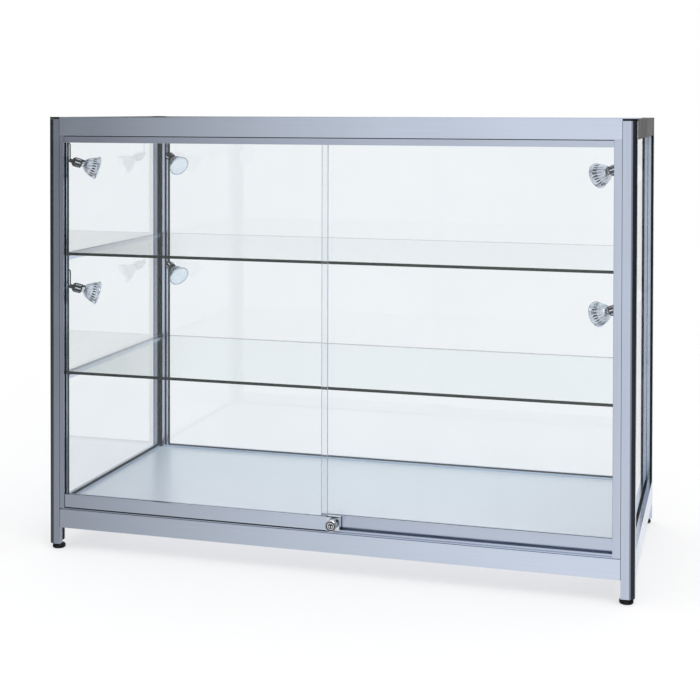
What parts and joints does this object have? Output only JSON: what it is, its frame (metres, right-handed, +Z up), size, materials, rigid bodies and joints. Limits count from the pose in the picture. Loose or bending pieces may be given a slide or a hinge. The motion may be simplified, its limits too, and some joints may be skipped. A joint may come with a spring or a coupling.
{
  "type": "glass display showcase",
  "caption": "Free-standing glass display showcase: aluminium corner posts and rails, glass walls, top and shelves, sliding glass doors with a lock, and small corner spot lamps.",
  "frame": {"origin": "on the floor, under the middle of the whole part's box", "axes": "+Z up; -Y is the side with the sliding doors and the lock, +Y the side with the fixed rear glass; +X to the right for a person facing the doors"},
  "size_m": [1.2, 0.566, 0.9],
  "materials": {
    "aluminium_frame": "satin anodised extrusion",
    "black_plastic": "moulded black plastic",
    "clear_glass": "clear float glass with a green edge",
    "shelf_glass": "clear float glass with a dark green ground edge",
    "deck_panel": "silver-grey laminate",
    "lock_chrome": "polished chrome plate",
    "lamp_steel": "bent steel rod",
    "lamp_glass": "faceted glass reflector with a black lamp holder",
    "transformer_case": "moulded case"
  },
  "bodies": {
    "root": {"base_deck": "deck_panel", "bottom_rail_front": "aluminium_frame", "bottom_rail_left": "aluminium_frame", "bottom_rail_rear": "aluminium_frame", "bottom_rail_right": "aluminium_frame", "corner_post_front_left": "aluminium_frame", "corner_post_front_right": "aluminium_frame", "corner_post_rear_left": "aluminium_frame", "corner_post_rear_right": "aluminium_frame", "glass_shelf_lower": "shelf_glass", "glass_shelf_upper": "shelf_glass", "jamb_left": "aluminium_frame", "jamb_right": "aluminium_frame", "lamp_arm_lower_front_left": "lamp_steel", "lamp_arm_lower_front_right": "lamp_steel", "lamp_arm_lower_rear_left": "lamp_steel", "lamp_arm_lower_rear_right": "lamp_steel", "lamp_arm_upper_front_left": "lamp_steel", "lamp_arm_upper_front_right": "lamp_steel", "lamp_arm_upper_rear_left": "lamp_steel", "lamp_arm_upper_rear_right": "lamp_steel", "lamp_transformer": "transformer_case", "lower_track": "aluminium_frame", "post_cap_front_left": "black_plastic", "post_cap_front_right": "black_plastic", "post_cap_rear_left": "black_plastic", "post_cap_rear_right": "black_plastic", "rear_glass": "clear_glass", "shelf_bearer_lower_left": "aluminium_frame", "shelf_bearer_lower_right": "aluminium_frame", "shelf_bearer_upper_left": "aluminium_frame", "shelf_bearer_upper_right": "aluminium_frame", "side_glass_left": "clear_glass", "side_glass_right": "clear_glass", "top_glass": "clear_glass", "top_rail_front": "aluminium_frame", "top_rail_left": "aluminium_frame", "top_rail_rear": "aluminium_frame", "top_rail_right": "aluminium_frame", "transformer_cable_bush": "black_plastic", "upper_track": "aluminium_frame"},
    "left_door": {"door_glass_left": "clear_glass", "door_shoe_left": "aluminium_frame", "lock_housing": "lock_chrome"},
    "right_door": {"door_glass_right": "clear_glass", "door_shoe_right": "aluminium_frame"},
    "lamp_head_lower_front_left": {"lamp_head_lower_front_left": "lamp_glass"},
    "lamp_head_lower_front_right": {"lamp_head_lower_front_right": "lamp_glass"},
    "lamp_head_lower_rear_left": {"lamp_head_lower_rear_left": "lamp_glass"},
    "lamp_head_lower_rear_right": {"lamp_head_lower_rear_right": "lamp_glass"},
    "lamp_head_upper_front_left": {"lamp_head_upper_front_left": "lamp_glass"},
    "lamp_head_upper_front_right": {"lamp_head_upper_front_right": "lamp_glass"},
    "lamp_head_upper_rear_left": {"lamp_head_upper_rear_left": "lamp_glass"},
    "lamp_head_upper_rear_right": {"lamp_head_upper_rear_right": "lamp_glass"},
    "levelling_foot_front_left": {"levelling_foot_front_left": "black_plastic"},
    "levelling_foot_front_right": {"levelling_foot_front_right": "black_plastic"},
    "levelling_foot_rear_left": {"levelling_foot_rear_left": "black_plastic"},
    "levelling_foot_rear_right": {"levelling_foot_rear_right": "black_plastic"},
    "lock_barrel": {"lock_barrel": "lock_chrome"},
    "lock_key_plug": {"lock_key_plug": "lock_chrome"}
  },
  "joints": [
    {"name": "left_door_slide", "type": "slide", "parent": "root", "child": "left_door", "axis": [1, 0, 0], "range_m": [0, 0.52]},
    {"name": "right_door_slide", "type": "slide", "parent": "root", "child": "right_door", "axis": [-1, 0, 0], "range_m": [0, 0.55]},
    {"name": "lock_push", "type": "slide", "parent": "left_door", "child": "lock_barrel", "axis": [0, 1, 0], "range_m": [0, 0.006], "stiffness_N_per_m": 300, "springref_m": -0.003},
    {"name": "key_turn", "type": "hinge", "parent": "lock_barrel", "child": "lock_key_plug", "pos_m": [0.0188, -0.283, 0.1038], "axis": [0, 1, 0], "range_deg": [0, 90]},
    {"name": "lamp_tilt_upper_front_left", "type": "hinge", "parent": "root", "child": "lamp_head_upper_front_left", "pos_m": [-0.5715, -0.2215, 0.8084], "axis": [-0.5736, 0.8192, 0], "range_deg": [-32, 43]},
    {"name": "lamp_tilt_upper_front_right", "type": "hinge", "parent": "root", "child": "lamp_head_upper_front_right", "pos_m": [0.5685, -0.2215, 0.8084], "axis": [-0.5736, -0.8192, 0], "range_deg": [-32, 43]},
    {"name": "lamp_tilt_upper_rear_right", "type": "hinge", "parent": "root", "child": "lamp_head_upper_rear_right", "pos_m": [0.566, 0.243, 0.8084], "axis": [0.9781, -0.2079, 0], "range_deg": [-43, 15]},
    {"name": "lamp_tilt_upper_rear_left", "type": "hinge", "parent": "root", "child": "lamp_head_upper_rear_left", "pos_m": [-0.552, 0.243, 0.8084], "axis": [0.5736, 0.8192, 0], "range_deg": [-43, 32]},
    {"name": "lamp_tilt_lower_front_left", "type": "hinge", "parent": "root", "child": "lamp_head_lower_front_left", "pos_m": [-0.5715, -0.2215, 0.544], "axis": [-0.5736, 0.8192, 0], "range_deg": [-32, 43]},
    {"name": "lamp_tilt_lower_front_right", "type": "hinge", "parent": "root", "child": "lamp_head_lower_front_right", "pos_m": [0.5685, -0.2215, 0.544], "axis": [-0.5736, -0.8192, 0], "range_deg": [-32, 43]},
    {"name": "lamp_tilt_lower_rear_right", "type": "hinge", "parent": "root", "child": "lamp_head_lower_rear_right", "pos_m": [0.566, 0.243, 0.544], "axis": [0.9781, -0.2079, 0], "range_deg": [-43, 15]},
    {"name": "lamp_tilt_lower_rear_left", "type": "hinge", "parent": "root", "child": "lamp_head_lower_rear_left", "pos_m": [-0.552, 0.243, 0.544], "axis": [0.5736, 0.8192, 0], "range_deg": [-43, 32]},
    {"name": "foot_turn_front_left", "type": "hinge", "parent": "root", "child": "levelling_foot_front_left", "pos_m": [-0.5836, -0.2506, 0.004], "axis": [0, 0, 1], "continuous": true},
    {"name": "foot_turn_front_right", "type": "hinge", "parent": "root", "child": "levelling_foot_front_right", "pos_m": [0.5836, -0.2506, 0.004], "axis": [0, 0, 1], "continuous": true},
    {"name": "foot_turn_rear_right", "type": "hinge", "parent": "root", "child": "levelling_foot_rear_right", "pos_m": [0.5836, 0.2666, 0.004], "axis": [0, 0, 1], "continuous": true},
    {"name": "foot_turn_rear_left", "type": "hinge", "parent": "root", "child": "levelling_foot_rear_left", "pos_m": [-0.5836, 0.2666, 0.004], "axis": [0, 0, 1], "continuous": true}
  ]
}
